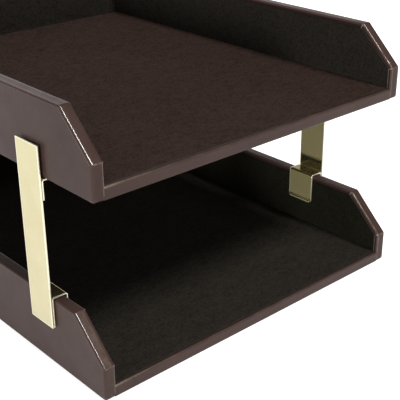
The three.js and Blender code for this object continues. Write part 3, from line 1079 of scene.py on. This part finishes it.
# ---------------------------------------------------------------- floor, light and camera

WHITE = (1, 1, 1, 1)
FLOOR_GREY = (0.68, 0.68, 0.68, 1)

# The studio that reflections see, by direction: dim up to the left's end and bright from the
# right's start, with a backdrop that fades out upwards and is raised towards the rear.
LEFT_END, RIGHT_START, LEFT_SHARE = -0.45, -0.1, 0.3
REAR_START, REAR_RISE = 0.45, 1.7
BACKDROP_FADE = 0.2


def reflected(n):
    """1 for glossy and transmission rays."""
    path = n.node("ShaderNodeLightPath").outputs
    return n.math("MAXIMUM", path["Is Glossy Ray"], path["Is Transmission Ray"])


def seen(n):
    """1 for camera rays."""
    return n.node("ShaderNodeLightPath").outputs["Is Camera Ray"]


def light_world(level, ceiling):
    """White to the camera, and level for the light on the object.

    Reflections show a white backdrop under a dark ceiling. It is dimmer towards the left, and
    reaches higher behind the trays on the right.
    """
    world = bpy.data.worlds.new("studio")
    bpy.context.scene.world = world
    world.use_nodes = True
    n = Nodes(world.node_tree)
    n.tree.nodes.clear()
    place = n.node("ShaderNodeTexCoord").outputs["Generated"]
    x, y, z = n.node("ShaderNodeSeparateXYZ", {0: place}).outputs
    right = n.ranged(x, LEFT_END, RIGHT_START, interpolation_type="SMOOTHSTEP")
    behind = n.math("MAXIMUM", n.math("SUBTRACT", y, REAR_START), 0)
    raised = n.math("MULTIPLY", n.math("MULTIPLY", behind, REAR_RISE), right)
    height = n.math("SUBTRACT", z, raised)
    backdrop = n.ranged(height, 0, BACKDROP_FADE, 1, ceiling, interpolation_type="SMOOTHSTEP")
    dimmed = n.ranged(right, 0, 1, LEFT_SHARE, 1)
    mirrored = n.math("MULTIPLY", reflected(n), n.math("MULTIPLY", backdrop, dimmed))
    direct = n.math("MAXIMUM", seen(n), mirrored)
    diffuse = n.math("SUBTRACT", 1, n.math("MAXIMUM", seen(n), reflected(n)))
    strength = n.math("ADD", direct, n.math("MULTIPLY", diffuse, level))
    background = n.node("ShaderNodeBackground", {"Color": WHITE, "Strength": strength})
    n.node("ShaderNodeOutputWorld", {"Surface": background.outputs[0]})


def pale_floor(radius, glow, mirrored_glow):
    """A round floor that lies level under the trays and takes their shadow."""
    count = 96
    turns = [2 * math.pi * k / count for k in range(count)]
    points = [(radius * math.cos(a), radius * math.sin(a), 0) for a in turns]
    mesh = bpy.data.meshes.new("floor")
    mesh.from_pydata(points, [], [tuple(range(count))])
    floor = bpy.data.objects.new("floor", mesh)
    bpy.context.scene.collection.objects.link(floor)
    floor.location.z = -0.0001
    material = bpy.data.materials.new("floor_white")
    material.use_nodes = True
    n = Nodes(material.node_tree)
    n.tree.nodes.clear()
    direct = n.math("MULTIPLY", seen(n), glow)
    mirrored = n.math("MULTIPLY", reflected(n), mirrored_glow)
    strength = n.math("ADD", direct, mirrored)
    matte = n.node("ShaderNodeBsdfDiffuse", {"Color": FLOOR_GREY})
    shine = n.node("ShaderNodeEmission", {"Color": WHITE, "Strength": strength})
    both = n.node("ShaderNodeAddShader", {0: matte.outputs[0], 1: shine.outputs[0]})
    n.node("ShaderNodeOutputMaterial", {"Surface": both.outputs[0]})
    mesh.materials.append(material)


def sun(name, towards, strength, angle):
    """A soft distant lamp that stands in the given direction."""
    lamp = bpy.data.lights.new(name, "SUN")
    lamp.energy = strength
    lamp.angle = math.radians(angle)
    obj = bpy.data.objects.new(name, lamp)
    obj.rotation_mode = "QUATERNION"
    obj.rotation_quaternion = Vector(towards).to_track_quat("Z", "Y")
    bpy.context.scene.collection.objects.link(obj)


light_world(level=0.38, ceiling=0.05)
pale_floor(radius=9, glow=0.8, mirrored_glow=0.41)
sun("key", towards=(0.08, -0.5, 0.862), strength=2.4, angle=16)
sun("side", towards=(-0.94, -0.33, 0.087), strength=1.75, angle=10)

# The camera that fits the photo: its place in metres, and where its axes point.
CAMERA_PLACE = (-0.38423, -0.53445, 0.34135)
RIGHT = Vector((0.74554, -0.66642, -0.00738))
DOWN = Vector((-0.28731, -0.31139, -0.90581))
FORWARD = Vector((0.60135, 0.67744, -0.42363))

camera_data = bpy.data.cameras.new("camera")
camera_data.lens = 81.55
camera_data.sensor_width = 36
camera_data.sensor_fit = "HORIZONTAL"
camera = bpy.data.objects.new("camera", camera_data)
turn = Matrix((RIGHT, -DOWN, -FORWARD)).transposed()
camera.matrix_world = Matrix.Translation(CAMERA_PLACE) @ turn.to_4x4()
bpy.context.scene.collection.objects.link(camera)
bpy.context.scene.camera = camera
bpy.context.scene.view_settings.view_transform = "Standard"
